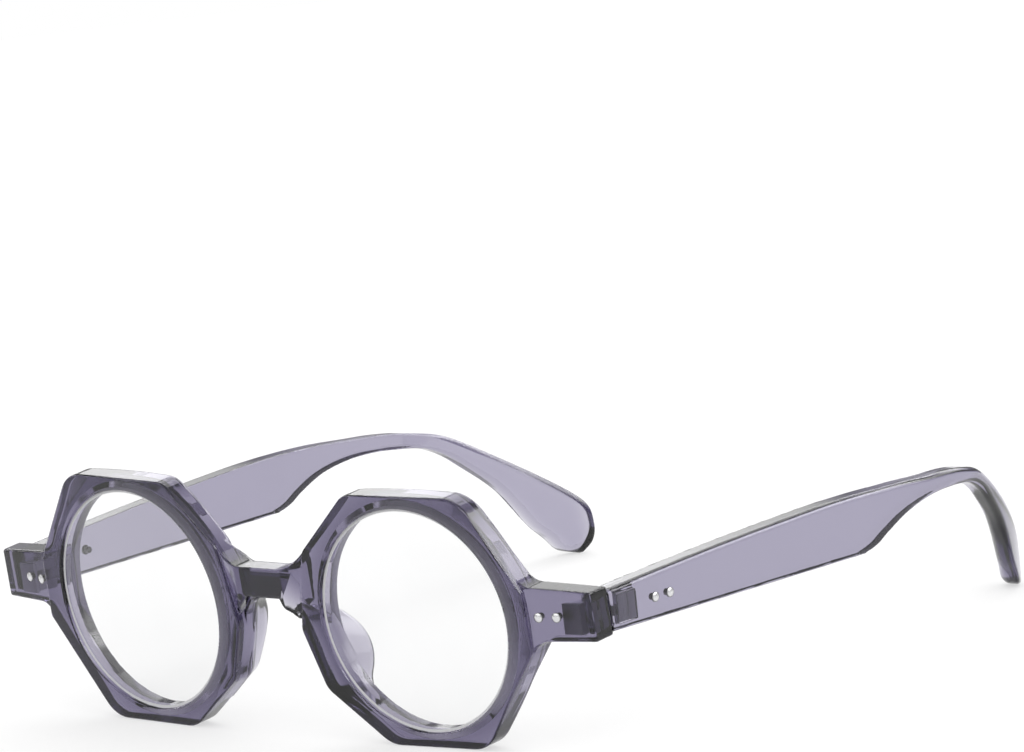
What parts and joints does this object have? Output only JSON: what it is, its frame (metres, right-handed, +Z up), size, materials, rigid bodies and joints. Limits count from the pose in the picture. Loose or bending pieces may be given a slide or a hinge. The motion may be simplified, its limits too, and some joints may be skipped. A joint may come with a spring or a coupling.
{
  "type": "eyeglasses",
  "caption": "Eyeglasses with round clear lenses in eight-sided translucent rims, a bar bridge, nose pads and folding temples on screwed barrel hinges.",
  "frame": {"origin": "on the resting surface, under the middle of the open glasses' bounding box", "axes": "+X towards the wearer's left, +Y back along the open temples, +Z up; the lenses face -Y"},
  "size_m": [0.1444, 0.1433, 0.0454],
  "materials": {
    "smoky_front": "polished, translucent smoky violet grey",
    "smoky_temple": "polished, translucent smoky violet grey",
    "nose_pad": "polished, translucent pale violet grey",
    "clear_lens": "clear, polished",
    "hinge_metal": "dark satin",
    "screw_metal": "satin",
    "rivet_metal": "bright, slightly domed"
  },
  "bodies": {
    "front": {"front_frame": "smoky_front", "left_lens": "clear_lens", "left_nose_pad": "nose_pad", "left_front_hinge": "hinge_metal", "left_hinge_screw": "screw_metal", "left_front_rivet_inner": "rivet_metal", "left_front_rivet_outer": "rivet_metal", "right_lens": "clear_lens", "right_nose_pad": "nose_pad", "right_front_hinge": "hinge_metal", "right_hinge_screw": "screw_metal", "right_front_rivet_inner": "rivet_metal", "right_front_rivet_outer": "rivet_metal"},
    "left_temple_body": {"left_temple": "smoky_temple", "left_temple_hinge": "hinge_metal", "left_temple_rivet_front": "rivet_metal", "left_temple_rivet_rear": "rivet_metal"},
    "right_temple_body": {"right_temple": "smoky_temple", "right_temple_hinge": "hinge_metal", "right_temple_rivet_front": "rivet_metal", "right_temple_rivet_rear": "rivet_metal"}
  },
  "joints": [
    {"name": "left_temple_fold", "type": "hinge", "parent": "front", "child": "left_temple_body", "pos_m": [0.06462, -0.05733, 0.0239], "axis": [0, 0, 1], "range_deg": [0, 85]},
    {"name": "right_temple_fold", "type": "hinge", "parent": "front", "child": "right_temple_body", "pos_m": [-0.06462, -0.05733, 0.0239], "axis": [0, 0, -1], "range_deg": [0, 65]}
  ]
}
